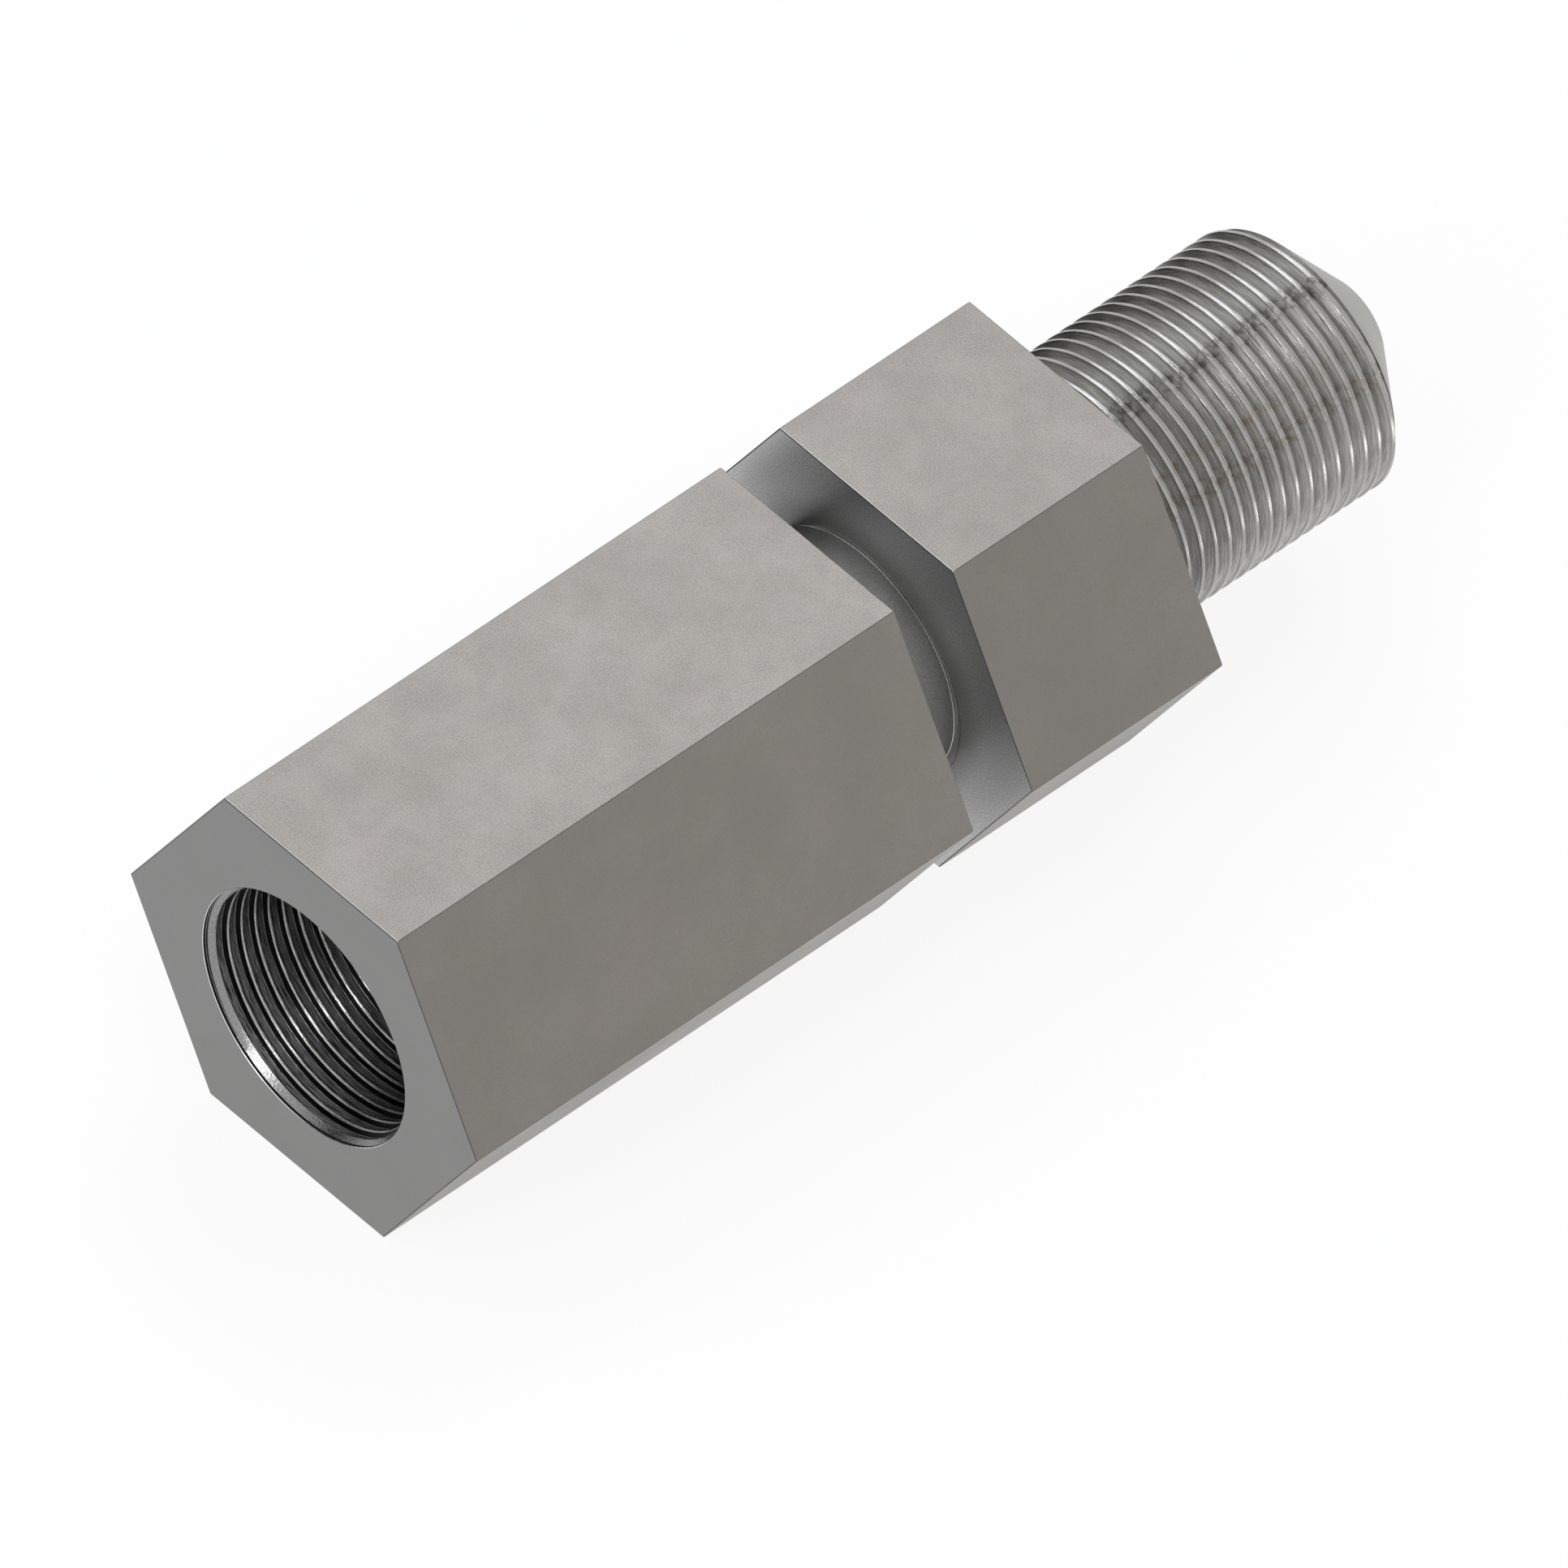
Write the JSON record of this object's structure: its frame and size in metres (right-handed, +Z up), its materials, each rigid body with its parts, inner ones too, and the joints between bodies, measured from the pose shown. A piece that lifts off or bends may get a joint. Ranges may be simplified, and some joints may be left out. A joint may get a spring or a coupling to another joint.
{
  "type": "bulkhead fitting",
  "caption": "Steel bulkhead fitting: long hex body with a threaded port, a threaded shank with a blunt cone nose, and a lock nut that clamps a panel against the body's shoulder.",
  "frame": {"origin": "middle of the port's mouth, on the fitting's axis, level with the body's front face", "axes": "+X along the axis from the port to the cone nose, +Z up, square to the hex flat on top, +Y across the hex corners; the part lies on the lowest flats of its two hexes"},
  "size_m": [0.1629, 0.0586, 0.0508],
  "materials": {
    "body_steel": "satin",
    "nut_steel": "satin"
  },
  "bodies": {
    "body": {"fitting_body": "body_steel"},
    "nut": {"lock_nut": "nut_steel"}
  },
  "joints": [
    {"name": "nut_travel", "type": "slide", "parent": "body", "child": "nut", "axis": [1, 0, 0], "range_m": [-0.00847, 0.03598]}
  ]
}
